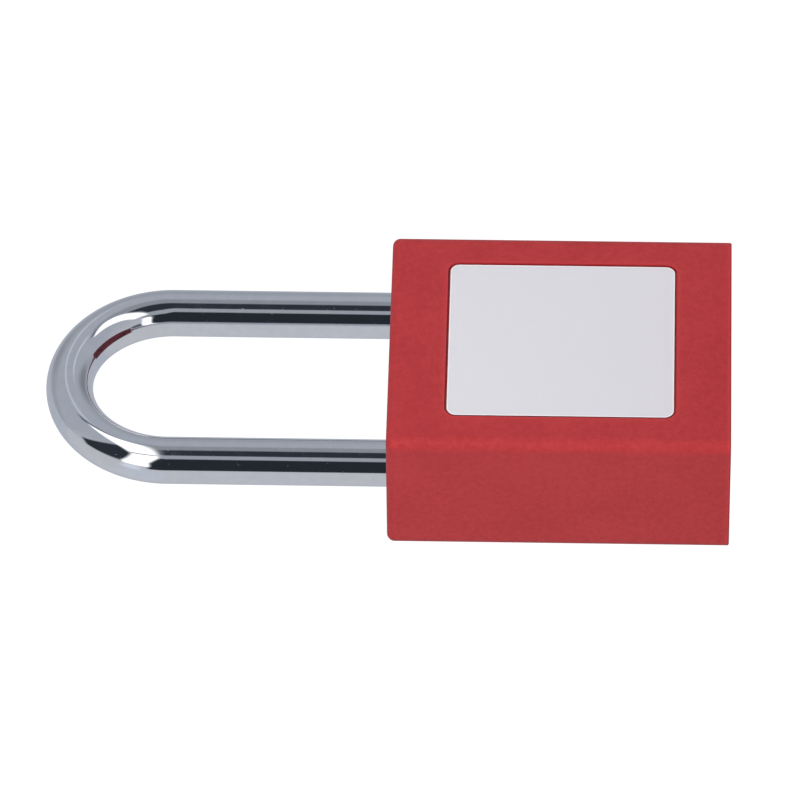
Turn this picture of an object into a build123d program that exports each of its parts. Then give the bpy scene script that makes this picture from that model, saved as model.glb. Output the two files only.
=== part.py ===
from build123d import *
import math
import os

# Safety padlock, millimetres. The origin is the centre of the bottom face, +Z runs up along the shackle,
# the front label faces -Y, the toe leg is on the -X side and the heel leg on the +X side.
# The lock is closed and unlocked: the latch stands clear of the toe leg.

# Body
body_width = 37.0
body_depth = 19.0
body_height = 43.5
long_edge_radius = 1.5
top_edge_radius = 1.0
bottom_edge = 0.15

# Shackle
leg_radius = 3.0
leg_spacing = 26.0
clear_height = 38.0
toe_depth = 10.5
lift_travel = 11.5
toe_chamfer = 1.0
toe_floor_gap = 0.2
foot_chamfer = 0.4
neck_radius = 2.1
foot_length = 2.45
notch_depth = 2.3
notch_height = 3.7
bore_gap = 0.1
bore_mouth = 0.4

# Labels
label_width = 26.5
label_height = 28.7
label_centre_z = 21.6
label_corner = 1.2
label_thickness = 0.25
label_gap = 0.3
recess_depth = 0.4

# Lock pocket, open at the bottom, and the case cavity above it
pocket_left = -16.0
pocket_right = 7.9
pocket_half_depth = 7.1
pocket_top = 30.0
pocket_corner = 1.0
cavity_left = -8.4
cavity_half_depth = 6.0
cavity_top = 40.4
part_gap = 0.1

# Bottom cover, lock housing and plug. The plug turns about the Z axis
cover_thickness = 2.0
cover_edge = 0.15
hook_left = -12.5
hook_right = -8.5
hook_thickness = 1.0
hook_top = 7.5
barb_depth = 0.5
barb_root = 1.3
barb_point = 1.0
barb_room = 1.5
face_recess = 0.25
boss_radius = 6.5
plug_radius = 4.75
plug_gap = 0.05
plug_flange_radius = 5.4
plug_flange_thickness = 1.2
face_edge = 0.2
plug_top = 31.9
clip_radius = 5.2
clip_thickness = 0.5
clip_groove_radius = 4.0
clip_opening = 2.4
keyway_width = 1.4
keyway_near = -3.7
keyway_far = 3.9
keyway_top = 26.0
ward_depth = 0.45
right_ward = (0.2, 1.9)
left_ward = (-2.2, -0.6)

# Pin tumblers
chamber_radius = 1.35
pin_radius = 1.25
chamber_pitch = 3.8
first_chamber_z = 6.5
key_pin_lengths = [3.0, 4.2, 3.5, 4.5, 3.8]
key_pin_cone = 0.9
key_pin_tip_radius = 0.35
pin_edge = 0.2
shear_gap = 0.2
driver_length = 4.9
chamber_floor = 1.0
pin_spring_wire = 0.3
pin_spring_turns = 6
strip_thickness = 0.8
strip_half_width = 2.0
strip_bottom = 4.0
strip_top = 24.2

# Screws
housing_screw_radius = 1.5
housing_screw_head_radius = 2.75
housing_screw_length = 8.0
housing_screw_head = 1.6
housing_screw_socket = 1.15
socket_depth = 1.2
case_screw_radius = 0.8
case_screw_head_radius = 1.5
case_screw_length = 8.0
case_screw_left = -6.85
case_screw_right = 6.45
case_screw_y = 4.2
case_screw_head = 0.8
case_screw_slot = 0.5
case_screw_slot_depth = 0.4
screw_sink = 0.08
thread_gap = 0.02
thread_runout = 0.5

# Cam and latch
cam_radius = 4.6
cam_bottom = 32.0
cam_thickness = 2.0
tongue_width = 2.0
tongue_length = 8.4
tongue_height = 1.2
latch_travel = 2.4
peg_radius = 1.1
peg_gap = 0.12
peg_height = 3.9
latch_bottom = 35.15
latch_thickness = 3.2
nose_half_width = 2.4
nose_rest_x = -9.65
head_left = -2.9
head_right = 4.9
head_half_width = 4.0
head_corner = 0.6
nose_edge = 0.3
latch_gap = 0.1

# Heel pin and shackle spring
dowel_radius = 1.5
dowel_length = 10.0
dowel_z = 28.0
dowel_edge = 0.2
neck_clearance = 0.3
seat_gap = 0.05
heel_bore_floor = 2.0
cap_radius = 2.9
cap_thickness = 1.0
spigot_radius = 1.5
spigot_length = 1.4
spigot_edge = 0.3
spring_wire = 0.5
spring_radius = 2.25
spring_turns = 8

# Worked out from the values above
heel_x = leg_spacing / 2
toe_x = -heel_x
toe_end_z = body_height - toe_depth
crown_centre_z = body_height + clear_height + leg_radius - leg_spacing / 2
bore_radius = leg_radius + bore_gap
housing_top = pocket_top - part_gap
housing_bottom = cover_thickness + seat_gap
dowel_x = heel_x - neck_radius - dowel_radius - seat_gap
neck_bottom = dowel_z - dowel_radius - lift_travel - seat_gap
neck_top = dowel_z + dowel_radius + neck_clearance
foot_bottom = neck_bottom - foot_length
cap_top = foot_bottom - part_gap
spring_top = cap_top - cap_thickness - part_gap
spring_bottom = heel_bore_floor + part_gap
peg_orbit = latch_travel / math.sqrt(2)
peg_x = peg_orbit * math.cos(math.radians(45))
peg_y = -peg_orbit * math.sin(math.radians(45))
chamber_zs = [first_chamber_z + chamber_pitch * i for i in range(len(key_pin_lengths))]
latch_top = latch_bottom + latch_thickness
case_split_z = latch_bottom - seat_gap
case_top = cavity_top - part_gap
notch_bottom = latch_bottom - (notch_height - latch_thickness) / 2
toe_floor_z = toe_end_z - toe_floor_gap
case_screw_spots = [
    (x, y) for x in (case_screw_left, case_screw_right) for y in (-case_screw_y, case_screw_y)
]


def block(x0, x1, y0, y1, z0, z1):
    """A box from its lowest and highest coordinates."""
    return Pos(x0, y0, z0) * Box(
        x1 - x0, y1 - y0, z1 - z0, align=(Align.MIN, Align.MIN, Align.MIN)
    )


def rounded_block(x0, x1, y0, y1, z0, z1, radius):
    """A box whose four upright edges are rounded."""
    return fillet(block(x0, x1, y0, y1, z0, z1).edges().filter_by(Axis.Z), radius)


def rod(radius, z0, z1, x=0.0, y=0.0):
    """An upright cylinder."""
    return Pos(x, y, z0) * Cylinder(
        radius, z1 - z0, align=(Align.CENTER, Align.CENTER, Align.MIN)
    )


def cone(radius0, radius1, z0, z1, x=0.0, y=0.0):
    """An upright cone or taper."""
    return Pos(x, y, z0) * Cone(
        radius0, radius1, z1 - z0, align=(Align.CENTER, Align.CENTER, Align.MIN)
    )


def rod_along_x(radius, x0, x1, y, z):
    """A cylinder along X."""
    return Pos(x0, y, z) * Rot(0, 90, 0) * rod(radius, 0, x1 - x0)


def rod_along_y(radius, y0, y1, x, z):
    """A cylinder along Y."""
    return Pos(x, y0, z) * Rot(-90, 0, 0) * rod(radius, 0, y1 - y0)


def label_plate(extra, thickness):
    """An upright plate of the label's outline, grown by extra, from the XZ plane towards -Y."""
    outline = RectangleRounded(
        label_width + 2 * extra, label_height + 2 * extra, label_corner + extra
    )
    return Pos(0, 0, label_centre_z) * Rot(90, 0, 0) * extrude(outline, thickness)


def coil(mean_radius, wire, length, turns):
    """A compression spring along +Z from the origin, with closed ends."""
    path = Helix((length - wire) / turns, length - wire, mean_radius)
    section = Plane(origin=path @ 0, z_dir=path % 0) * Circle(wire / 2)
    return Pos(0, 0, wire / 2) * sweep(section, path=path)


def body_shell():
    """The moulded body: leg bores, lock pocket, case cavity, pin seat and two label recesses."""
    half_width = body_width / 2
    half_depth = body_depth / 2
    shell = block(-half_width, half_width, -half_depth, half_depth, 0, body_height)
    shell = fillet(shell.edges().filter_by(Axis.Z), long_edge_radius)
    shell = fillet(shell.faces().sort_by(Axis.Z)[-1].edges(), top_edge_radius)
    shell = chamfer(shell.faces().sort_by(Axis.Z)[0].edges(), bottom_edge)
    for back in (0, 180):
        recess = Pos(0, -half_depth + recess_depth, 0) * label_plate(label_gap, 1.0)
        shell -= Rot(0, 0, back) * recess
    shell -= rod(bore_radius, heel_bore_floor, body_height + 1, heel_x)
    shell -= rod(bore_radius, toe_floor_z, body_height + 1, toe_x)
    for x in (heel_x, toe_x):
        shell -= cone(bore_radius, bore_radius + bore_mouth, body_height - bore_mouth, body_height, x)
    shell -= rounded_block(
        pocket_left, pocket_right, -pocket_half_depth, pocket_half_depth, -1, pocket_top, pocket_corner
    )
    shell -= block(
        cavity_left, pocket_right, -cavity_half_depth, cavity_half_depth, pocket_top - 1, cavity_top
    )
    shell -= block(
        toe_x,
        cavity_left + 1,
        -nose_half_width - latch_gap,
        nose_half_width + latch_gap,
        latch_bottom - latch_gap,
        latch_top + latch_gap,
    )
    seat_half = dowel_length / 2 + seat_gap
    shell -= block(
        pocket_right - 1,
        dowel_x + dowel_radius + seat_gap,
        -seat_half,
        seat_half,
        dowel_z - dowel_radius - seat_gap,
        dowel_z + dowel_radius + seat_gap,
    )
    shell -= housing_screw_space()
    return shell


def housing_screw_space():
    """The countersunk hole through the web between the toe bore and the lock pocket."""
    top = toe_floor_z
    hole = rod(housing_screw_radius + part_gap, pocket_top - 1, top + 0.1, toe_x)
    sink = cone(
        housing_screw_radius + part_gap,
        housing_screw_head_radius + part_gap,
        top - housing_screw_head - part_gap,
        top,
        toe_x,
    )
    return hole + sink


def housing_screw():
    """A countersunk screw with a hexagon socket, in the floor of the toe bore."""
    top = toe_floor_z - part_gap
    neck = top - housing_screw_head
    screw = cone(housing_screw_radius, housing_screw_head_radius, neck, top, toe_x)
    screw += rod(housing_screw_radius, top - housing_screw_length, neck + 0.1, toe_x)
    socket = Pos(toe_x, 0, top - socket_depth) * extrude(RegularPolygon(housing_screw_socket, 6), 2)
    return screw - socket


def clip_hook(side):
    """One snap hook of the bottom cover, on the +Y side for side 1 and on the -Y side for side -1."""
    outer = pocket_half_depth - part_gap
    inner = outer - hook_thickness
    arm = block(hook_left, hook_right, inner, outer, cover_thickness - 0.5, hook_top)
    tip = inner - barb_depth
    root = (inner, hook_top - barb_root)
    wedge = Polygon(root, (inner, hook_top), (tip, hook_top - barb_point), align=None)
    hook = arm + Pos(hook_left, 0, 0) * extrude(Plane.YZ * wedge, hook_right - hook_left)
    return hook if side > 0 else hook.mirror(Plane.XZ)


def clip_space(side):
    """The room for a snap hook in the side of the housing."""
    left = hook_left - part_gap
    right = hook_right + part_gap
    inner = pocket_half_depth - hook_thickness - 2 * part_gap
    top = hook_top + part_gap
    room = block(left, right, inner, pocket_half_depth + 1, 0, top)
    room += block(left, right, inner - barb_depth, inner + 0.1, top - barb_room, top)
    return room if side > 0 else room.mirror(Plane.XZ)


def bottom_cover():
    """The plate that closes the pocket round the lock's face, with two snap hooks."""
    gap = seat_gap
    cover = rounded_block(
        pocket_left + gap,
        pocket_right - gap,
        -pocket_half_depth + gap,
        pocket_half_depth - gap,
        0,
        cover_thickness,
        pocket_corner,
    )
    cover = chamfer(cover.faces().sort_by(Axis.Z)[0].edges(), cover_edge)
    cover -= rod(boss_radius + part_gap, -1, cover_thickness + 1)
    for side in (1, -1):
        cover += clip_hook(side)
    return cover


def lock_housing():
    """The die-cast block: plug bore, pin chambers, the strip's groove, hook rooms and the screw's hole."""
    gap = part_gap
    housing = rounded_block(
        pocket_left + gap,
        pocket_right - gap,
        -pocket_half_depth + gap,
        pocket_half_depth - gap,
        housing_bottom,
        housing_top,
        pocket_corner,
    )
    housing += rod(boss_radius, face_recess, housing_bottom + 0.5)
    housing -= rod(plug_radius + plug_gap, 0, housing_top + 1)
    housing -= rod(plug_flange_radius + part_gap, 0, face_recess + plug_flange_thickness + seat_gap)
    outer = pocket_left + part_gap
    for z in chamber_zs:
        housing -= rod_along_x(chamber_radius, outer - 1, -plug_radius + 1, 0, z)
    housing -= block(
        outer - 1,
        outer + strip_thickness,
        -strip_half_width - seat_gap,
        strip_half_width + seat_gap,
        strip_bottom - seat_gap,
        strip_top + seat_gap,
    )
    for side in (1, -1):
        housing -= clip_space(side)
    thread_bottom = toe_floor_z - part_gap - housing_screw_length - thread_runout
    housing -= rod(housing_screw_radius + thread_gap, thread_bottom, housing_top + 1, toe_x)
    return housing


def chamber_cover():
    """The strip pressed over the mouths of the pin chambers."""
    outer = pocket_left + part_gap
    return block(
        outer, outer + strip_thickness, -strip_half_width, strip_half_width, strip_bottom, strip_top
    )


def keyway():
    """The warded slot for the key, along Y while the lock is unlocked."""
    half = keyway_width / 2
    slot = block(-half, half, keyway_near, keyway_far, -1, keyway_top)
    slot += block(half - 0.1, half + ward_depth, *right_ward, -1, keyway_top)
    slot += block(-half - ward_depth, -half + 0.1, *left_ward, -1, keyway_top)
    return slot


def plug():
    """The brass plug: face flange, keyway, pin chambers, clip groove and the cam's slot in its end."""
    turned = rod(plug_radius, face_recess, plug_top)
    turned += rod(plug_flange_radius, face_recess, face_recess + plug_flange_thickness)
    turned = chamfer(turned.faces().sort_by(Axis.Z)[0].edges(), face_edge)
    groove_z = housing_top + seat_gap / 2
    ring = rod(plug_radius + 1, groove_z, groove_z + clip_thickness + part_gap)
    turned -= ring - rod(clip_groove_radius, groove_z - 1, groove_z + 2)
    for z in chamber_zs:
        turned -= rod_along_y(chamber_radius, -plug_radius - 1, chamber_floor, 0, z)
    turned -= keyway()
    slot_half = tongue_width / 2 + seat_gap
    turned -= block(
        -slot_half,
        slot_half,
        -plug_radius - 1,
        plug_radius + 1,
        cam_bottom - tongue_height - part_gap,
        plug_top + 1,
    )
    return turned


def plug_clip():
    """The open ring in the plug's groove, above the housing."""
    z0 = housing_top + seat_gap
    ring = rod(clip_radius, z0, z0 + clip_thickness)
    ring -= rod(clip_groove_radius + seat_gap, z0 - 1, z0 + 1)
    half = clip_opening / 2
    return ring - block(-half, half, 0, clip_radius + 1, z0 - 1, z0 + 1)


def key_pins():
    """Five pins in the plug, flush with its surface, each with a coned tip in the keyway."""
    start = -plug_radius + shear_gap
    pins = []
    for z, length in zip(chamber_zs, key_pin_lengths):
        profile = Polygon(
            (0, 0),
            (pin_radius - pin_edge, 0),
            (pin_radius, pin_edge),
            (pin_radius, length - key_pin_cone),
            (key_pin_tip_radius, length),
            (0, length),
            align=None,
        )
        pin = revolve(profile, Axis.Y)
        pins.append(Pos(0, start, z) * pin)
    return Compound(children=pins)


def driver_pins():
    """Five equal pins in the housing, resting on the plug."""
    inner = -plug_radius - plug_gap - seat_gap
    pins = []
    for z in chamber_zs:
        pin = rod_along_x(pin_radius, inner - driver_length, inner, 0, z)
        pins.append(chamfer(pin.edges().filter_by(GeomType.CIRCLE), pin_edge))
    return Compound(children=pins)


def pin_springs():
    """Five springs between the driver pins and the strip."""
    outer = pocket_left + part_gap + strip_thickness
    inner = -plug_radius - plug_gap - seat_gap - driver_length
    length = inner - outer - 2 * seat_gap
    mean_radius = pin_radius - pin_spring_wire / 2 - part_gap
    springs = []
    for z in chamber_zs:
        spring = coil(mean_radius, pin_spring_wire, length, pin_spring_turns)
        springs.append(Pos(outer + seat_gap, 0, z) * Rot(0, 90, 0) * spring)
    return Compound(children=springs)


def cam():
    """The disc on the plug's end, with a tongue below and an off-centre peg above."""
    disc = rod(cam_radius, cam_bottom, cam_bottom + cam_thickness)
    disc = chamfer(disc.edges().filter_by(GeomType.CIRCLE), face_edge)
    tongue = block(
        -tongue_width / 2,
        tongue_width / 2,
        -tongue_length / 2,
        tongue_length / 2,
        cam_bottom - tongue_height,
        cam_bottom + 0.5,
    )
    peg = rod(peg_radius, cam_bottom + 0.5, cam_bottom + cam_thickness + peg_height, peg_x, peg_y)
    return disc + tongue + peg


def latch():
    """The sliding bar: a broad head with the peg's slot and a narrower nose towards the toe leg."""
    head = block(head_left, head_right, -head_half_width, head_half_width, latch_bottom, latch_top)
    head = fillet(head.edges().filter_by(Axis.Z), head_corner)
    nose = block(
        nose_rest_x, head_left + 1, -nose_half_width, nose_half_width, latch_bottom, latch_top
    )
    nose = chamfer(nose.faces().sort_by(Axis.X)[0].edges(), nose_edge)
    slot_radius = peg_radius + peg_gap
    near = -peg_orbit - seat_gap
    far = peg_y + seat_gap
    slot = rod(slot_radius, latch_bottom - 1, latch_top + 1, peg_x, near)
    slot += rod(slot_radius, latch_bottom - 1, latch_top + 1, peg_x, far)
    slot += block(
        peg_x - slot_radius, peg_x + slot_radius, near, far, latch_bottom - 1, latch_top + 1
    )
    return head + nose - slot


def case_base():
    """The lower half of the latch case, with the cam's room under a web."""
    left = cavity_left + part_gap
    right = pocket_right - part_gap
    half = cavity_half_depth - part_gap
    base = block(left, right, -half, half, pocket_top, case_split_z)
    cam_top = cam_bottom + cam_thickness
    base -= rod(clip_radius + part_gap, pocket_top - 1, cam_bottom - seat_gap)
    base -= rod(cam_radius + part_gap, pocket_top - 1, cam_top + part_gap)
    base -= rod(peg_orbit + peg_radius + 2 * part_gap, cam_top - 1, case_split_z + 1)
    thread_bottom = case_top - case_screw_length - thread_runout
    for x, y in case_screw_spots:
        base -= rod(case_screw_radius + thread_gap, thread_bottom, case_split_z + 1, x, y)
    return base


def case_cover():
    """The upper half of the latch case: a lid with the latch's channel in its underside."""
    left = cavity_left + part_gap
    right = pocket_right - part_gap
    half = cavity_half_depth - part_gap
    lid = block(left, right, -half, half, case_split_z, case_top)
    roof = latch_top + latch_gap
    lid -= block(
        head_left - latch_travel - latch_gap,
        head_right + latch_gap,
        -head_half_width - latch_gap,
        head_half_width + latch_gap,
        case_split_z - 1,
        roof,
    )
    lid -= block(
        left - 1,
        head_left,
        -nose_half_width - latch_gap,
        nose_half_width + latch_gap,
        case_split_z - 1,
        roof,
    )
    for x, y in case_screw_spots:
        lid -= rod(case_screw_radius + part_gap, case_split_z - 1, case_top + 1, x, y)
        lid -= cone(
            case_screw_radius + part_gap,
            case_screw_head_radius + part_gap,
            case_top - case_screw_head - part_gap,
            case_top,
            x,
            y,
        )
    return lid


def case_screws():
    """Four countersunk screws with slotted heads, through the lid into the base."""
    top = case_top - screw_sink
    screws = []
    for x, y in case_screw_spots:
        screw = cone(case_screw_radius, case_screw_head_radius, top - case_screw_head, top, x, y)
        screw += rod(case_screw_radius, case_top - case_screw_length, top - case_screw_head + 0.1, x, y)
        screws.append(screw - Pos(x, y, top) * Box(4, case_screw_slot, 2 * case_screw_slot_depth))
    return Compound(children=screws)


def heel_pin():
    """The dowel across the neck of the heel leg, trapped by the housing."""
    pin = rod_along_y(dowel_radius, -dowel_length / 2, dowel_length / 2, dowel_x, dowel_z)
    return chamfer(pin.edges().filter_by(GeomType.CIRCLE), dowel_edge)


def end_circle(bar, z):
    """The circular edges of a bar at the height z."""
    circles = bar.edges().filter_by(GeomType.CIRCLE)
    return [edge for edge in circles if abs(edge.center().Z - z) < 0.01]


def shackle():
    """The U of round bar: a long heel leg with a neck and a foot, and a short toe leg with a notch."""
    crown = CenterArc((0, 0, 0), heel_x, 0, 180)
    path = Line((heel_x, 0, foot_bottom), (heel_x, 0, crown_centre_z))
    path += crown.moved(Location((0, 0, crown_centre_z), (90, 0, 0)))
    path += Line((toe_x, 0, crown_centre_z), (toe_x, 0, toe_end_z))
    section = Plane(origin=(heel_x, 0, foot_bottom), z_dir=(0, 0, 1)) * Circle(leg_radius)
    bar = sweep(section, path=path)
    bar = chamfer(end_circle(bar, toe_end_z), toe_chamfer)
    bar = chamfer(end_circle(bar, foot_bottom), foot_chamfer)
    collar = rod(leg_radius + 1, neck_bottom, neck_top, heel_x)
    collar -= rod(neck_radius, neck_bottom - 1, neck_top + 1, heel_x)
    bar -= collar
    bar -= block(
        toe_x + leg_radius - notch_depth,
        toe_x + leg_radius + 1,
        -leg_radius - 1,
        leg_radius + 1,
        notch_bottom,
        notch_bottom + notch_height,
    )
    return bar


def spring_cap():
    """The button between the foot of the heel leg and its spring."""
    disc = rod(cap_radius, cap_top - cap_thickness, cap_top, heel_x)
    spigot_top = cap_top - cap_thickness + 0.1
    spigot = rod(spigot_radius, spigot_top - spigot_length, spigot_top, heel_x)
    return chamfer((disc + spigot).edges().group_by(Axis.Z)[0], spigot_edge)


def shackle_spring():
    """The compression spring under the heel leg."""
    spring = coil(spring_radius, spring_wire, spring_top - spring_bottom, spring_turns)
    return Pos(heel_x, 0, spring_bottom) * spring


def front_label():
    """The blank label, a little below the front face."""
    return Pos(0, -body_depth / 2 + recess_depth, 0) * label_plate(0, label_thickness)


def rear_label():
    """The same label on the back."""
    return Rot(0, 0, 180) * front_label()


nodes = [
    body_shell,
    bottom_cover,
    front_label,
    rear_label,
    lock_housing,
    chamber_cover,
    housing_screw,
    plug,
    plug_clip,
    key_pins,
    driver_pins,
    pin_springs,
    cam,
    latch,
    case_base,
    case_cover,
    case_screws,
    heel_pin,
    shackle,
    spring_cap,
    shackle_spring,
]

os.makedirs("parts", exist_ok=True)
for node in nodes:
    export_step(node(), f"parts/{node.__name__}.step")
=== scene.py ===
import math

import bmesh
import bpy
from mathutils import Matrix, Vector


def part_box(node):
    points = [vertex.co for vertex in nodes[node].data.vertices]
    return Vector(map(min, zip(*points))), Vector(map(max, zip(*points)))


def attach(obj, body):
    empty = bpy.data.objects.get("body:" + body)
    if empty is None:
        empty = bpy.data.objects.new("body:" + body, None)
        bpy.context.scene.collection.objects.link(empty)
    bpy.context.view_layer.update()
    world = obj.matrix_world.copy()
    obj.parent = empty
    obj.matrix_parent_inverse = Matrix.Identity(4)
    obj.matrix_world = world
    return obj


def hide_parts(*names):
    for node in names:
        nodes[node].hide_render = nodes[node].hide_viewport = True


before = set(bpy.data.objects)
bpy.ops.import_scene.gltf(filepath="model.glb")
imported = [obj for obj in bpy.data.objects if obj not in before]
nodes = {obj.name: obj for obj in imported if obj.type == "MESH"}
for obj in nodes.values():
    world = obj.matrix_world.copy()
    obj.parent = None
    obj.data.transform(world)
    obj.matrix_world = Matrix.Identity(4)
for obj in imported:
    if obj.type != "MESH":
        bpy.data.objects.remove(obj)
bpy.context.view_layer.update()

MM = 0.001

# The padlock stands on z = 0 with its shackle up. Sizes below are millimetres, turned into metres by MM.
LEG_RADIUS = 3.0
NECK_RADIUS = 2.1
TOE_CHAMFER = 1.0
FOOT_CHAMFER = 0.4
NOTCH_DEPTH = 2.3
NOTCH_HEIGHT = 3.7
TOE_LENGTH = 1.9
FOOT_LENGTH = 2.45
NECK_CLEARANCE = 0.3
SECTION_POINTS = 96
CROWN_STEPS = 300
LEG_STEPS = 12
LABEL_CORNER = 1.2

# The camera looks horizontally at the long edge between the front and the toe side, rolled a quarter turn.
VIEW_AZIMUTH = math.radians(-43.52)
VIEW_DISTANCE = 1210.0
VIEW_HEIGHT = 43.0
VIEW_ROLL = -0.013
VIEW_YAW = -0.024
VIEW_SHIFT = (0.781, -1.402)
LENS = 425.7
SENSOR = 36.0


# ---------------------------------------------------------------- node helpers
def set_input(tree, socket, value):
    """Links a socket or sets a plain value."""
    if isinstance(value, bpy.types.NodeSocket):
        tree.links.new(value, socket)
    else:
        socket.default_value = value


def maths(tree, operation, *values):
    """A Math node's result."""
    node = tree.nodes.new("ShaderNodeMath")
    node.operation = operation
    for socket, value in zip(node.inputs, values):
        set_input(tree, socket, value)
    return node.outputs[0]


def dot(tree, vector, direction):
    """The dot product of a vector socket and a fixed direction."""
    node = tree.nodes.new("ShaderNodeVectorMath")
    node.operation = "DOT_PRODUCT"
    tree.links.new(vector, node.inputs[0])
    node.inputs[1].default_value = direction
    return node.outputs["Value"]


def smooth(tree, value, start, end, low=0.0, high=1.0):
    """A smooth step from low to high as value goes from start to end."""
    node = tree.nodes.new("ShaderNodeMapRange")
    node.interpolation_type = "SMOOTHSTEP"
    for socket, number in zip(node.inputs, (value, start, end, low, high)):
        set_input(tree, socket, number)
    return node.outputs[0]


def mix(tree, factor, a, b):
    """A colour mix of a and b."""
    node = tree.nodes.new("ShaderNodeMix")
    node.data_type = "RGBA"
    set_input(tree, node.inputs["Factor"], factor)
    set_input(tree, node.inputs[6], a)
    set_input(tree, node.inputs[7], b)
    return node.outputs[2]


def noise(tree, vector, scale, detail=2.0, roughness=0.5):
    """A noise texture's value, with scale in features per metre."""
    node = tree.nodes.new("ShaderNodeTexNoise")
    tree.links.new(vector, node.inputs["Vector"])
    node.inputs["Scale"].default_value = scale
    node.inputs["Detail"].default_value = detail
    node.inputs["Roughness"].default_value = roughness
    return node.outputs["Fac"]


def weighted(tree, *terms):
    """The sum of sockets, each times its weight."""
    total = 0.0
    for value, weight in terms:
        total = maths(tree, "ADD", maths(tree, "MULTIPLY", value, weight), total)
    return total


def open_air(tree, reach):
    """0 deep in a gap and 1 in the open, looking as far as reach."""
    gap = tree.nodes.new("ShaderNodeAmbientOcclusion")
    gap.samples = 8
    gap.inputs["Distance"].default_value = reach
    return smooth(tree, gap.outputs["AO"], 0.05, 0.55)


def worn_and_highlit_edge(tree, reach):
    """1 along edges and 0 on flat faces, looking as far as reach."""
    rounded = tree.nodes.new("ShaderNodeBevel")
    rounded.samples = 8
    rounded.inputs["Radius"].default_value = reach
    compare = tree.nodes.new("ShaderNodeVectorMath")
    compare.operation = "DOT_PRODUCT"
    tree.links.new(rounded.outputs[0], compare.inputs[0])
    tree.links.new(tree.nodes.new("ShaderNodeNewGeometry").outputs["Normal"], compare.inputs[1])
    return smooth(tree, compare.outputs["Value"], 0.90, 0.999, 1.0, 0.0)


def bump(tree, height, distance, strength=1.0, normal=None):
    """A bump from a height socket; distance is in metres."""
    node = tree.nodes.new("ShaderNodeBump")
    node.inputs["Strength"].default_value = strength
    node.inputs["Distance"].default_value = distance
    tree.links.new(height, node.inputs["Height"])
    if normal is not None:
        tree.links.new(normal, node.inputs["Normal"])
    return node.outputs[0]


def mix_shader(tree, factor, a, b):
    """A blend of two shaders."""
    node = tree.nodes.new("ShaderNodeMixShader")
    for socket, source in zip(node.inputs, (factor, a, b)):
        tree.links.new(source, socket)
    return node.outputs[0]


def new_material(name):
    """A material with a Principled shader; returns it, its tree, the shader and the object coordinates."""
    material = bpy.data.materials.new(name)
    material.use_nodes = True
    tree = material.node_tree
    shader = tree.nodes["Principled BSDF"]
    place = tree.nodes.new("ShaderNodeTexCoord").outputs["Object"]
    return material, tree, shader, place


def grey(level):
    """A neutral colour."""
    return (level, level, level, 1.0)


# ---------------------------------------------------------------- materials
def red_nylon():
    """Moulded red nylon: matte grain, faint mottling, edges painted paler as a highlight and partly as
    wear, and painted shade in gaps.

    It is painted darker where polished metal reflects it, as painted shade for its unlit side.
    """
    material, tree, shader, place = new_material("red_nylon")
    grain = noise(tree, place, 5200.0, 3.0, 0.6)
    blotch = noise(tree, place, 1300.0, 2.0)
    cloud = noise(tree, place, 120.0, 3.0)
    tone = weighted(tree, (grain, 0.50), (blotch, 0.32), (cloud, 0.18))
    mottle = smooth(tree, tone, 0.38, 0.62)
    colour = mix(tree, mottle, (0.400, 0.025, 0.030, 1.0), (0.475, 0.038, 0.042, 1.0))
    # Painted highlight: the colour is paler along edges, partly standing for wear.
    edge = worn_and_highlit_edge(tree, 1.6 * MM)
    colour = mix(tree, edge, colour, (0.540, 0.040, 0.044, 1.0))
    # Painted shade: the colour darkens to dark maroon in narrow gaps and creases, but not near the foot.
    parts = tree.nodes.new("ShaderNodeSeparateXYZ")
    tree.links.new(place, parts.inputs[0])
    foot = smooth(tree, parts.outputs["Z"], 0.4 * MM, 1.2 * MM, 1.0, 0.0)
    lit = maths(tree, "MAXIMUM", foot, open_air(tree, 0.5 * MM))
    colour = mix(tree, lit, (0.070, 0.010, 0.020, 1.0), colour)
    # Painted shade: the nylon is darker in reflections, standing for the body's unlit side.
    mirrored = tree.nodes.new("ShaderNodeLightPath").outputs["Is Glossy Ray"]
    colour = mix(tree, mirrored, colour, (0.130, 0.026, 0.036, 1.0))
    tree.links.new(colour, shader.inputs["Base Color"])
    ripple = noise(tree, place, 900.0, 2.0)
    rough = smooth(tree, grain, 0.3, 0.7, 0.47, 0.6)
    rough = maths(tree, "SUBTRACT", rough, maths(tree, "MULTIPLY", edge, 0.08))
    tree.links.new(rough, shader.inputs["Roughness"])
    shader.inputs["Specular IOR Level"].default_value = 0.45
    fine = bump(tree, grain, 0.00003, 0.7)
    tree.links.new(bump(tree, ripple, 0.00003, 0.3, fine), shader.inputs["Normal"])
    return material


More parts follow.
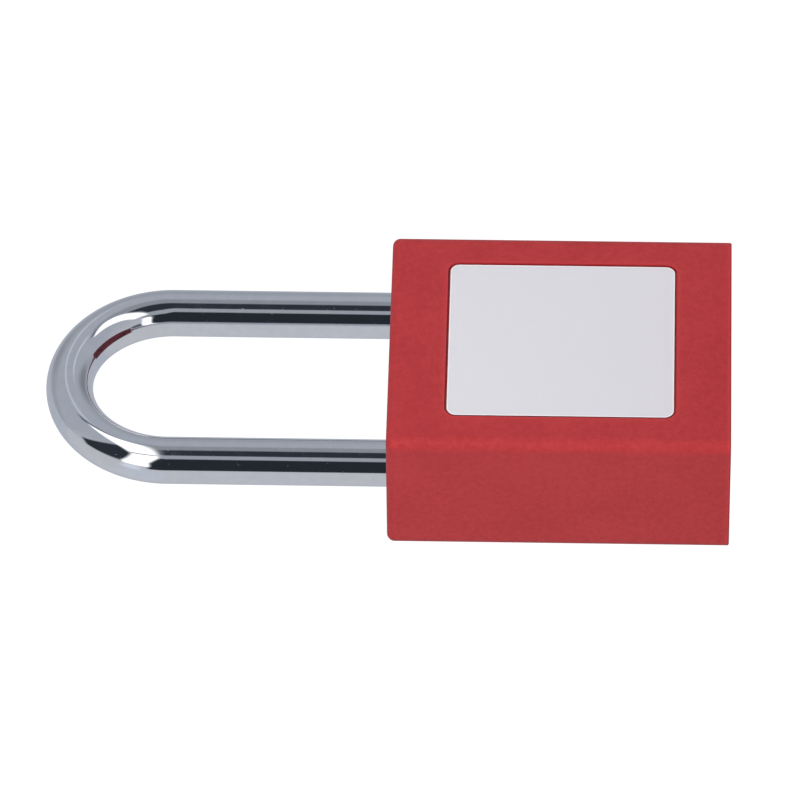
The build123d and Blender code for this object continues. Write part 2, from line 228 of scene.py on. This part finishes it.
def label_film():
    """Matt white label film with a faint texture, a bright rim that is a painted highlight and partly the
    film's whiter cut edge, and painted shade on its sides in the gap round them.
    """
    material, tree, shader, place = new_material("label_film")
    parts = tree.nodes.new("ShaderNodeSeparateXYZ")
    tree.links.new(place, parts.inputs[0])
    low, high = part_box("front_label")
    centre = (low + high) / 2
    corner = LABEL_CORNER * MM
    across = maths(tree, "ABSOLUTE", maths(tree, "SUBTRACT", parts.outputs["X"], centre.x))
    along = maths(tree, "ABSOLUTE", maths(tree, "SUBTRACT", parts.outputs["Z"], centre.z))
    out_x = maths(tree, "SUBTRACT", across, (high.x - low.x) / 2 - corner)
    out_z = maths(tree, "SUBTRACT", along, (high.z - low.z) / 2 - corner)
    far_x = maths(tree, "MAXIMUM", out_x, 0.0)
    far_z = maths(tree, "MAXIMUM", out_z, 0.0)
    square_x = maths(tree, "POWER", far_x, 2.0)
    square_z = maths(tree, "POWER", far_z, 2.0)
    length = maths(tree, "SQRT", maths(tree, "ADD", square_x, square_z))
    inside = maths(tree, "MINIMUM", maths(tree, "MAXIMUM", out_x, out_z), 0.0)
    edge = maths(tree, "SUBTRACT", maths(tree, "ADD", length, inside), corner)
    # Painted highlight: a pale band just inside the edge, partly the film's whiter cut edge.
    rim = smooth(tree, edge, -0.20 * MM, -0.08 * MM)
    speckle = noise(tree, place, 3000.0, 2.0)
    texture = smooth(tree, speckle, 0.3, 0.7)
    sheet = mix(tree, texture, (0.703, 0.700, 0.745, 1.0), (0.715, 0.712, 0.757, 1.0))
    colour = mix(tree, rim, sheet, (0.93, 0.88, 0.91, 1.0))
    # Painted shade: the film's side faces are painted dark maroon, standing for the gap's shade.
    normal = tree.nodes.new("ShaderNodeTexCoord").outputs["Normal"]
    facing = maths(tree, "ABSOLUTE", dot(tree, normal, (0, 1, 0)))
    colour = mix(tree, smooth(tree, facing, 0.3, 0.7), (0.120, 0.030, 0.050, 1.0), colour)
    tree.links.new(colour, shader.inputs["Base Color"])
    shader.inputs["Roughness"].default_value = 0.55
    shader.inputs["Specular IOR Level"].default_value = 0.3
    tree.links.new(bump(tree, speckle, 0.000006, 0.4), shader.inputs["Normal"])
    return material


def chromed_steel():
    """Polished chrome with the slight waviness of a plated bar and faint polishing marks."""
    material, tree, shader, place = new_material("chromed_steel")
    wave = noise(tree, place, 120.0, 2.0, 0.5)
    haze = noise(tree, place, 700.0, 3.0, 0.6)
    tint = mix(tree, smooth(tree, haze, 0.35, 0.7), (0.86, 0.865, 0.885, 1.0), (0.90, 0.905, 0.92, 1.0))
    tree.links.new(tint, shader.inputs["Base Color"])
    shader.inputs["Metallic"].default_value = 1.0
    polish = smooth(tree, haze, 0.35, 0.75, 0.035, 0.075)
    specks = smooth(tree, noise(tree, place, 2400.0, 1.0), 0.72, 0.77, 0.0, 0.14)
    tree.links.new(maths(tree, "ADD", polish, specks), shader.inputs["Roughness"])
    tree.links.new(bump(tree, wave, 0.00006, 0.2), shader.inputs["Normal"])
    return material


def cast_zinc():
    """Die-cast zinc: dull grey with a faintly pebbled skin."""
    material, tree, shader, place = new_material("die_cast_zinc")
    pebble = noise(tree, place, 1800.0, 4.0, 0.6)
    stain = noise(tree, place, 160.0, 3.0)
    colour = mix(tree, smooth(tree, stain, 0.3, 0.7), (0.40, 0.41, 0.42, 1.0), (0.52, 0.53, 0.54, 1.0))
    tree.links.new(colour, shader.inputs["Base Color"])
    shader.inputs["Metallic"].default_value = 0.9
    tree.links.new(smooth(tree, pebble, 0.3, 0.7, 0.38, 0.55), shader.inputs["Roughness"])
    tree.links.new(bump(tree, pebble, 0.00003, 0.5), shader.inputs["Normal"])
    return material


def turned_brass():
    """Machined brass with fine concentric turning marks about the plug's axis."""
    material, tree, shader, place = new_material("brass")
    rings = tree.nodes.new("ShaderNodeTexWave")
    rings.wave_type = "RINGS"
    rings.rings_direction = "Z"
    rings.inputs["Scale"].default_value = 1400.0
    rings.inputs["Distortion"].default_value = 1.5
    tree.links.new(place, rings.inputs["Vector"])
    tarnish = noise(tree, place, 300.0, 4.0, 0.6)
    colour = mix(tree, smooth(tree, tarnish, 0.3, 0.75), (0.78, 0.58, 0.27, 1.0), (0.66, 0.47, 0.20, 1.0))
    tree.links.new(colour, shader.inputs["Base Color"])
    shader.inputs["Metallic"].default_value = 1.0
    tree.links.new(smooth(tree, tarnish, 0.3, 0.75, 0.22, 0.38), shader.inputs["Roughness"])
    tree.links.new(bump(tree, rings.outputs["Fac"], 0.000008, 0.6), shader.inputs["Normal"])
    return material


def plated_steel():
    """Zinc-plated steel, bright with a slight blue cast."""
    material, tree, shader, place = new_material("plated_steel")
    cloud = noise(tree, place, 500.0, 3.0, 0.6)
    colour = mix(tree, smooth(tree, cloud, 0.3, 0.7), (0.55, 0.57, 0.61, 1.0), (0.66, 0.68, 0.71, 1.0))
    tree.links.new(colour, shader.inputs["Base Color"])
    shader.inputs["Metallic"].default_value = 1.0
    tree.links.new(smooth(tree, cloud, 0.3, 0.7, 0.22, 0.36), shader.inputs["Roughness"])
    tree.links.new(bump(tree, noise(tree, place, 2500.0, 2.0), 0.00001, 0.4), shader.inputs["Normal"])
    return material


def spring_steel():
    """Drawn spring wire, darker than the plated parts."""
    material, tree, shader, place = new_material("spring_steel")
    cloud = noise(tree, place, 900.0, 3.0, 0.6)
    colour = mix(tree, smooth(tree, cloud, 0.3, 0.7), (0.34, 0.34, 0.35, 1.0), (0.46, 0.46, 0.47, 1.0))
    tree.links.new(colour, shader.inputs["Base Color"])
    shader.inputs["Metallic"].default_value = 1.0
    tree.links.new(smooth(tree, cloud, 0.3, 0.7, 0.28, 0.42), shader.inputs["Roughness"])
    return material


def paint(names, material):
    """Gives CAD nodes one material in all their slots."""
    for name in names:
        mesh = nodes[name].data
        mesh.materials.clear()
        mesh.materials.append(material)


# ---------------------------------------------------------------- the shackle
def mark_edges(obj, degrees):
    """Smooth shading that stays sharp where two faces meet at more than an angle."""
    work = bmesh.new()
    work.from_mesh(obj.data)
    limit = math.radians(degrees)
    for face in work.faces:
        face.smooth = True
    for edge in work.edges:
        edge.smooth = len(edge.link_faces) == 2 and edge.calc_face_angle() < limit
    work.to_mesh(obj.data)
    work.free()


def section(centre, inward, radius, flat=None):
    """Points round the bar. A flat cuts the section at that distance from the axis on its inward side."""
    points = []
    for i in range(SECTION_POINTS):
        angle = 2 * math.pi * (i + 0.5) / SECTION_POINTS
        along = radius * math.cos(angle)
        if flat is not None:
            along = min(along, flat)
        side = Vector((0.0, -1.0, 0.0)) * radius * math.sin(angle)
        points.append(centre + inward * along + side)
    return points


def shackle_sections():
    """The bar's sections in millimetres, from the heel leg's foot over the crown to the toe leg's end."""
    low, high = (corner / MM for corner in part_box("shackle"))
    half = high.x - LEG_RADIUS
    crown_z = high.z - LEG_RADIUS - half
    pin_low, pin_high = (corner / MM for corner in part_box("heel_pin"))
    latch_low, latch_high = (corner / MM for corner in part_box("latch"))
    sections = []
    heel = [
        (low.z, LEG_RADIUS - FOOT_CHAMFER),
        (low.z + FOOT_CHAMFER, LEG_RADIUS),
        (low.z + FOOT_LENGTH, LEG_RADIUS),
        (low.z + FOOT_LENGTH, NECK_RADIUS),
        (pin_high.z + NECK_CLEARANCE, NECK_RADIUS),
        (pin_high.z + NECK_CLEARANCE, LEG_RADIUS),
    ]
    for z, radius in heel:
        sections.append(section(Vector((half, 0, z)), Vector((-1, 0, 0)), radius))
    neck_top = pin_high.z + NECK_CLEARANCE
    for i in range(LEG_STEPS):
        z = neck_top + (crown_z - neck_top) * (i + 1) / (LEG_STEPS + 1)
        sections.append(section(Vector((half, 0, z)), Vector((-1, 0, 0)), LEG_RADIUS))
    for i in range(CROWN_STEPS + 1):
        angle = math.pi * i / CROWN_STEPS
        outward = Vector((math.cos(angle), 0, math.sin(angle)))
        sections.append(section(Vector((0, 0, crown_z)) + outward * half, -outward, LEG_RADIUS))
    spare = (NOTCH_HEIGHT - (latch_high.z - latch_low.z)) / 2
    notch_top = latch_high.z + spare
    notch_bottom = latch_low.z - spare
    toe_end = notch_bottom - TOE_LENGTH
    for i in range(LEG_STEPS):
        z = crown_z + (notch_top - crown_z) * (i + 1) / (LEG_STEPS + 1)
        sections.append(section(Vector((-half, 0, z)), Vector((1, 0, 0)), LEG_RADIUS))
    flat = LEG_RADIUS - NOTCH_DEPTH
    toe = [
        (notch_top, LEG_RADIUS, None),
        (notch_top, LEG_RADIUS, flat),
        (notch_bottom, LEG_RADIUS, flat),
        (notch_bottom, LEG_RADIUS, None),
        (toe_end + TOE_CHAMFER, LEG_RADIUS, None),
        (toe_end, LEG_RADIUS - TOE_CHAMFER, None),
    ]
    for z, radius, cut in toe:
        sections.append(section(Vector((-half, 0, z)), Vector((1, 0, 0)), radius, cut))
    return sections


def build_shackle(material):
    """The U of round bar as one closed mesh, in place of the coarser CAD surface."""
    work = bmesh.new()
    rings = [[work.verts.new(point * MM) for point in ring] for ring in shackle_sections()]
    for first, second in zip(rings, rings[1:]):
        for i in range(SECTION_POINTS):
            j = (i + 1) % SECTION_POINTS
            work.faces.new((first[i], first[j], second[j], second[i]))
    work.faces.new(list(reversed(rings[0])))
    work.faces.new(rings[-1])
    bmesh.ops.remove_doubles(work, verts=work.verts, dist=0.0005 * MM)
    bmesh.ops.dissolve_degenerate(work, edges=work.edges, dist=0.0005 * MM)
    bmesh.ops.recalc_face_normals(work, faces=work.faces)
    mesh = bpy.data.meshes.new("shackle_bar")
    work.to_mesh(mesh)
    work.free()
    bar = bpy.data.objects.new("shackle_bar", mesh)
    bpy.context.scene.collection.objects.link(bar)
    mesh.materials.append(material)
    mark_edges(bar, 25)
    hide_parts("shackle")
    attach(bar, "shackle_bar")
    return bar


# ---------------------------------------------------------------- studio
def view_axes():
    """The camera's right, up and back directions in the row frame."""
    back = Vector((math.sin(VIEW_AZIMUTH), -math.cos(VIEW_AZIMUTH), 0.0))
    up = Vector((math.cos(VIEW_AZIMUTH), math.sin(VIEW_AZIMUTH), 0.0))
    right = Vector((0.0, 0.0, -1.0))
    turn = Vector((0.0, VIEW_YAW, VIEW_ROLL))
    spin = Matrix.Rotation(turn.length, 3, turn.normalized())
    return spin @ Matrix((right, up, back))


def add_camera():
    """A long lens at the height of the body's top."""
    axes = view_axes()
    offset = axes.transposed() @ Vector((VIEW_SHIFT[0], VIEW_SHIFT[1], VIEW_DISTANCE))
    data = bpy.data.cameras.new("camera")
    data.lens = LENS
    data.sensor_width = SENSOR
    data.clip_start = 0.05
    data.clip_end = 30.0
    camera = bpy.data.objects.new("camera", data)
    place = (Vector((0, 0, VIEW_HEIGHT)) + offset) * MM
    camera.matrix_world = Matrix.Translation(place) @ axes.transposed().to_4x4()
    bpy.context.scene.collection.objects.link(camera)
    bpy.context.scene.camera = camera


def above(tree, value, limit, soft=2.5):
    """1 where value is over limit, in degrees, with a soft edge."""
    return smooth(tree, maths(tree, "SUBTRACT", value, limit), -soft, soft)


def below(tree, value, limit, soft=2.5):
    """1 where value is under limit, in degrees, with a soft edge."""
    return smooth(tree, maths(tree, "SUBTRACT", value, limit), -soft, soft, 1.0, 0.0)


def slanted(tree, value, first, last):
    """A line through two (value, level) points, level beyond them."""
    node = tree.nodes.new("ShaderNodeMapRange")
    for socket, number in zip(node.inputs, (value, first[0], last[0], first[1], last[1])):
        set_input(tree, socket, number)
    return node.outputs[0]


def zone(tree, view, colour, *masks):
    """Paints a colour over the view where every mask is 1."""
    whole = masks[0]
    for mask in masks[1:]:
        whole = maths(tree, "MULTIPLY", whole, mask)
    return mix(tree, whole, view, colour)


def cool(level):
    """A slightly blue grey."""
    return (0.91 * level, 0.98 * level, 1.11 * level, 1.0)


def shade(level):
    """A dark blue grey."""
    return (0.80 * level, 0.97 * level, 1.30 * level, 1.0)


def tent_walls(tree, turn, rise):
    """The pale cloth all round, darker in the corner behind the heel side."""
    view = mix(tree, smooth(tree, turn, -70.0, 60.0), (0.515, 0.530, 0.570, 1.0), cool(0.415))
    view = zone(tree, view, cool(0.57), below(tree, turn, -60.0, 6.0), above(tree, turn, -125.0, 15.0),
                above(tree, rise, 4.0, 4.0), below(tree, rise, 32.0, 10.0))
    view = zone(tree, view, cool(0.36), above(tree, turn, 108.0, 14.0), below(tree, turn, 140.0, 12.0))
    view = zone(tree, view, cool(0.30), above(tree, turn, 112.0, 14.0), below(tree, turn, 142.0, 8.0),
                above(tree, rise, 28.0, 7.0), below(tree, rise, 45.0, 9.0))
    view = zone(tree, view, cool(0.24), above(tree, turn, 104.0, 12.0), below(tree, turn, 142.0, 8.0),
                above(tree, rise, -50.0, 8.0), below(tree, rise, -22.0, 9.0))
    view = zone(tree, view, cool(0.48), above(tree, turn, 152.0, 12.0))
    view = zone(tree, view, cool(0.48), below(tree, turn, -150.0, 20.0))
    return view


def wall_seams(tree, turn, rise, view):
    """Two lit folds and a dark post on the wall at the heel side."""
    upper_fold = slanted(tree, turn, (66.0, 20.0), (104.0, 11.0))
    upper = maths(tree, "ABSOLUTE", maths(tree, "SUBTRACT", rise, upper_fold))
    view = zone(tree, view, cool(0.57), above(tree, turn, 70.0, 4.0), below(tree, turn, 104.0, 10.0),
                below(tree, upper, 3.0))
    lower_fold = slanted(tree, turn, (72.0, -18.0), (94.0, -12.0))
    lower = maths(tree, "ABSOLUTE", maths(tree, "SUBTRACT", rise, lower_fold))
    view = zone(tree, view, cool(0.62), above(tree, turn, 74.0, 4.0), below(tree, turn, 91.0, 5.0),
                below(tree, lower, 2.5))
    steep = maths(tree, "ABSOLUTE", rise)
    view = zone(tree, view, shade(0.16), above(tree, turn, 66.0, 1.0), below(tree, turn, 71.5, 1.5),
                above(tree, steep, 12.0), below(tree, steep, 28.0))
    return view


def dark_openings(tree, turn, rise, view):
    """The openings above and ahead, with a pale strip between two dark halves."""
    upper_side = maths(tree, "ADD", turn, maths(tree, "MULTIPLY", rise, 0.7))
    view = zone(tree, view, shade(0.032), above(tree, turn, -33.0, 7.0), below(tree, upper_side, 56.5),
                above(tree, rise, 20.0), below(tree, rise, 71.0, 3.0))
    view = zone(tree, view, cool(0.29), above(tree, turn, 20.0), below(tree, turn, 73.0, 5.0),
                above(tree, rise, -20.0), below(tree, rise, 7.0))
    view = zone(tree, view, cool(0.36), above(tree, turn, -5.0), below(tree, turn, 24.0),
                above(tree, rise, -28.0), below(tree, rise, 9.0))
    ahead_side = slanted(tree, rise, (-6.0, -1.0), (8.0, 10.0))
    view = zone(tree, view, shade(0.024), above(tree, turn, -51.0), below(tree, turn, ahead_side),
                above(tree, rise, -24.0), below(tree, rise, 17.0))
    strip_side = slanted(tree, rise, (-6.0, 18.5), (8.0, 26.0))
    view = zone(tree, view, shade(0.033), above(tree, turn, strip_side), below(tree, turn, 51.0, 3.5),
                above(tree, rise, -18.0), below(tree, rise, 5.0))
    view = zone(tree, view, shade(0.11), above(tree, turn, -56.0, 4.0), below(tree, turn, -26.0, 5.0),
                above(tree, rise, -50.0, 3.0), below(tree, rise, -35.0))
    return view


def white_panels(tree, turn, rise, view):
    """Bright panels above and below the openings."""
    white = grey(1.5)
    top = slanted(tree, turn, (-28.0, 37.5), (15.0, 23.5))
    foot = slanted(tree, turn, (-20.0, 16.0), (8.0, 7.5))
    view = zone(tree, view, cool(0.72), above(tree, turn, -66.0, 6.0), below(tree, turn, -42.0),
                above(tree, rise, 23.0, 5.0), below(tree, rise, 38.0, 4.0))
    view = zone(tree, view, white, above(tree, turn, -39.0), below(tree, turn, 66.5, 2.0),
                above(tree, rise, foot), below(tree, rise, top))
    view = zone(tree, view, cool(0.33), above(tree, turn, 18.5, 1.5), below(tree, turn, 23.5, 1.5),
                above(tree, rise, 8.0), below(tree, rise, 24.0))
    low_top = slanted(tree, turn, (-30.0, -25.0), (-10.0, -21.0))
    low_foot = slanted(tree, turn, (-30.0, -36.0), (-8.0, -30.5))
    view = zone(tree, view, white, above(tree, turn, -54.0, 4.0), below(tree, turn, -4.0),
                above(tree, rise, low_foot), below(tree, rise, low_top))
    side_top = slanted(tree, turn, (40.0, -20.0), (60.0, -16.5))
    view = zone(tree, view, white, above(tree, turn, 9.5), below(tree, turn, 66.5, 2.0),
                above(tree, rise, -34.0), below(tree, rise, side_top))
    return view


def studio_reflection(tree, direction):
    """What polished metal sees: pale cloth, dark openings and white panels.

    turn is the azimuth from the camera and rise the elevation, both in degrees. Its zones suit one view.
    """
    toward = (math.sin(VIEW_AZIMUTH), -math.cos(VIEW_AZIMUTH), 0.0)
    across = (math.cos(VIEW_AZIMUTH), math.sin(VIEW_AZIMUTH), 0.0)
    turn = maths(tree, "ARCTAN2", dot(tree, direction, across), dot(tree, direction, toward))
    turn = maths(tree, "MULTIPLY", turn, 180 / math.pi)
    rise = maths(tree, "MULTIPLY", maths(tree, "ARCSINE", dot(tree, direction, (0, 0, 1))), 180 / math.pi)
    view = tent_walls(tree, turn, rise)
    view = wall_seams(tree, turn, rise, view)
    view = dark_openings(tree, turn, rise, view)
    return white_panels(tree, turn, rise, view)


def add_world():
    """White to the camera, a banded studio to reflections and a soft even light to matt surfaces."""
    world = bpy.data.worlds.new("studio")
    bpy.context.scene.world = world
    world.use_nodes = True
    tree = world.node_tree
    tree.nodes.clear()
    direction = tree.nodes.new("ShaderNodeTexCoord").outputs["Generated"]
    path = tree.nodes.new("ShaderNodeLightPath")
    rise = dot(tree, direction, (0, 0, 1))
    ambient = mix(tree, smooth(tree, rise, -1.0, 1.0), grey(0.17), grey(0.20))
    seen = mix(tree, path.outputs["Is Glossy Ray"], ambient, studio_reflection(tree, direction))
    seen = mix(tree, path.outputs["Is Camera Ray"], seen, grey(1.05))
    background = tree.nodes.new("ShaderNodeBackground")
    tree.links.new(seen, background.inputs["Color"])
    output = tree.nodes.new("ShaderNodeOutputWorld")
    tree.links.new(background.outputs[0], output.inputs["Surface"])


def add_panel(name, azimuth, elevation, distance, size, power):
    """A square soft light aimed at the middle of the padlock, hidden from reflections."""
    data = bpy.data.lights.new(name, "AREA")
    data.shape = "SQUARE"
    data.size = size
    data.energy = power
    lamp = bpy.data.objects.new(name, data)
    turn, lift = math.radians(azimuth), math.radians(elevation)
    back = Vector((math.sin(turn) * math.cos(lift), -math.cos(turn) * math.cos(lift), math.sin(lift)))
    lamp.location = Vector((0, 0, VIEW_HEIGHT * MM)) + back * distance
    lamp.rotation_mode = "QUATERNION"
    lamp.rotation_quaternion = back.to_track_quat("Z", "Y")
    lamp.visible_glossy = False
    lamp.visible_camera = False
    bpy.context.scene.collection.objects.link(lamp)


def add_floor():
    """A large pale floor, a little brighter where it is seen at a grazing angle."""
    mesh = bpy.data.meshes.new("floor")
    size = 6.0
    corners = [(-size, -size, 0), (size, -size, 0), (size, size, 0), (-size, size, 0)]
    mesh.from_pydata([Vector(c) - Vector((0, 0, 0.00002)) for c in corners], [], [(0, 1, 2, 3)])
    floor = bpy.data.objects.new("floor", mesh)
    bpy.context.scene.collection.objects.link(floor)
    material, tree, shader, place = new_material("pale_floor")
    shader.inputs["Base Color"].default_value = (0.95, 0.95, 0.955, 1.0)
    shader.inputs["Roughness"].default_value = 0.8
    shader.inputs["Specular IOR Level"].default_value = 0.1
    facing = tree.nodes.new("ShaderNodeLayerWeight")
    facing.inputs["Blend"].default_value = 0.5
    glow = tree.nodes.new("ShaderNodeEmission")
    glow.inputs["Color"].default_value = grey(1.05)
    path = tree.nodes.new("ShaderNodeLightPath")
    grazing = smooth(tree, facing.outputs["Facing"], 0.80, 0.96)
    white = maths(tree, "MULTIPLY", grazing, path.outputs["Is Camera Ray"])
    lit = mix_shader(tree, white, shader.outputs[0], glow.outputs[0])
    clear = tree.nodes.new("ShaderNodeBsdfTransparent").outputs[0]
    underside = tree.nodes.new("ShaderNodeNewGeometry").outputs["Backfacing"]
    from_below = maths(tree, "MULTIPLY", underside, path.outputs["Is Camera Ray"])
    surface = mix_shader(tree, from_below, lit, clear)
    tree.links.new(surface, tree.nodes["Material Output"].inputs["Surface"])
    mesh.materials.append(material)
    floor.visible_glossy = False


red = red_nylon()
film = label_film()
chrome = chromed_steel()
zinc = cast_zinc()
brass = turned_brass()
plated = plated_steel()
wire = spring_steel()
paint(["body_shell", "bottom_cover"], red)
paint(["front_label", "rear_label"], film)
paint(["lock_housing", "case_base", "case_cover"], zinc)
paint(["plug", "key_pins", "driver_pins", "chamber_cover"], brass)
paint(["housing_screw", "case_screws", "cam", "latch", "heel_pin", "spring_cap", "plug_clip"], plated)
paint(["pin_springs", "shackle_spring"], wire)
build_shackle(chrome)

add_camera()
add_world()
add_panel("key", -42.0, 20.0, 0.9, 0.4, 6.45)
add_panel("toe_side", -112.0, 8.0, 0.9, 0.6, 0.4)
add_panel("heel_side", 82.0, 10.0, 0.9, 0.6, 2.6)
add_panel("back", 152.0, 14.0, 0.9, 0.6, 4.8)
add_panel("top", 60.0, 75.0, 0.9, 0.8, 0.3)
add_floor()
bpy.context.scene.view_settings.view_transform = "Standard"
